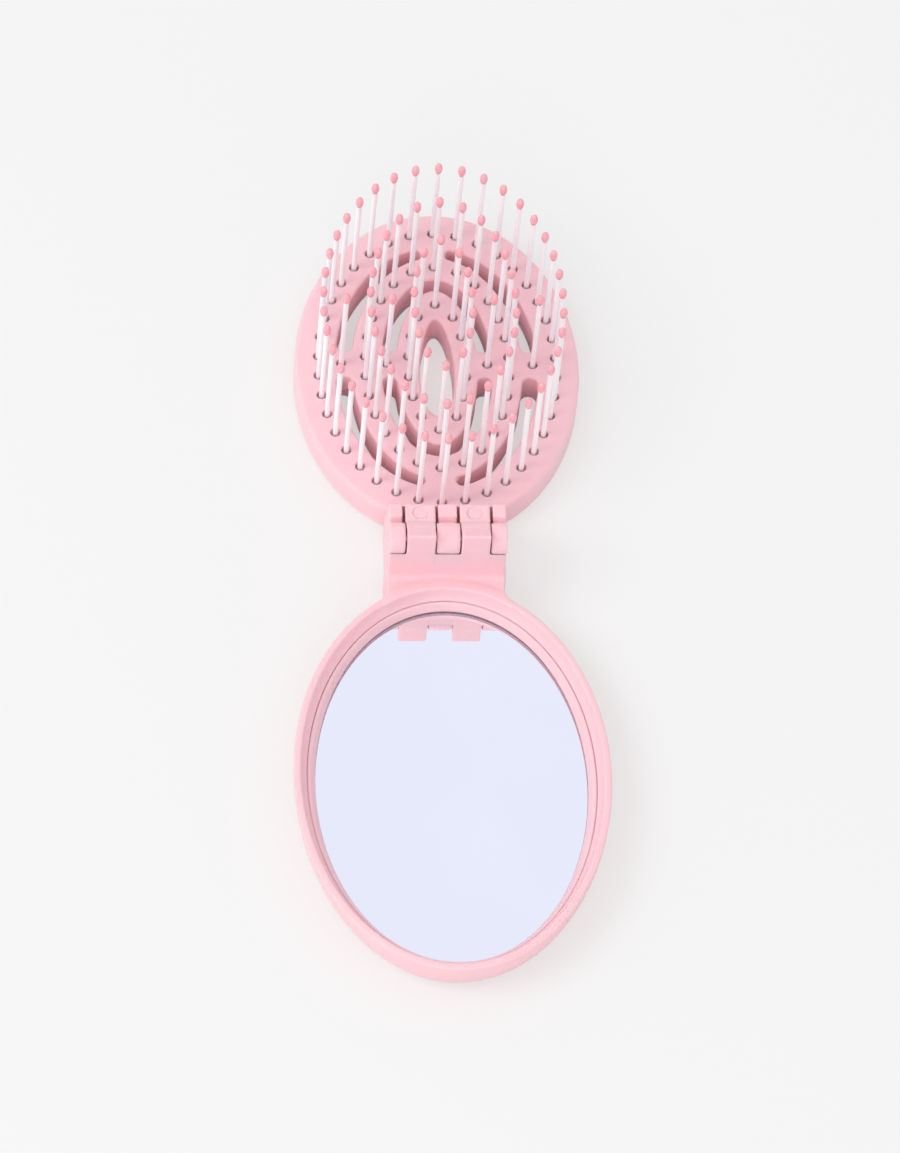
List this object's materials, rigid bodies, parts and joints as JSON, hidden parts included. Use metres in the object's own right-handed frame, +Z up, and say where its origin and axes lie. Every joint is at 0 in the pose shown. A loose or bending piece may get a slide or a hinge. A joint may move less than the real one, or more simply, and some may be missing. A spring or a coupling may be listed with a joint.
{
  "type": "folding hairbrush with mirror",
  "caption": "Pocket hairbrush that folds shut over its pins, with an oval vented brush head and an oval mirror joined by a raised knuckle hinge.",
  "frame": {"origin": "middle of the open brush's footprint, on the flat faces of both backs", "axes": "+Z up, out of the brush face and the mirror; +Y along the brush towards the tip of the brush head; +X across, along the hinge rod"},
  "size_m": [0.0686, 0.1986, 0.0344],
  "materials": {
    "pink_shell": "satin moulded plastic, pale pink",
    "white_nylon": "slightly translucent white nylon",
    "pink_tips": "glossy dipped drops",
    "steel_rod": "drawn steel",
    "mirror_glass": "silvered glass with a ground edge",
    "adhesive_foam": "white foam tape"
  },
  "bodies": {
    "brush_head": {"head_face_shell": "pink_shell", "head_back_cover": "pink_shell", "outer_pin_carrier": "white_nylon", "middle_pin_carrier": "white_nylon", "inner_pin_carrier": "white_nylon", "outer_pins": "white_nylon", "middle_pins": "white_nylon", "inner_pins": "white_nylon", "outer_pin_tips": "pink_tips", "middle_pin_tips": "pink_tips", "inner_pin_tips": "pink_tips", "hinge_rod": "steel_rod"},
    "mirror_half": {"mirror_frame": "pink_shell", "mirror_retaining_ring": "pink_shell", "mirror_glass": "mirror_glass", "mirror_pad": "adhesive_foam", "mirror_back_cover": "pink_shell"}
  },
  "joints": [
    {"name": "fold", "type": "hinge", "parent": "brush_head", "child": "mirror_half", "pos_m": [0, 0.00375, 0.02055], "axis": [-1, 0, 0], "range_deg": [0, 180]}
  ]
}
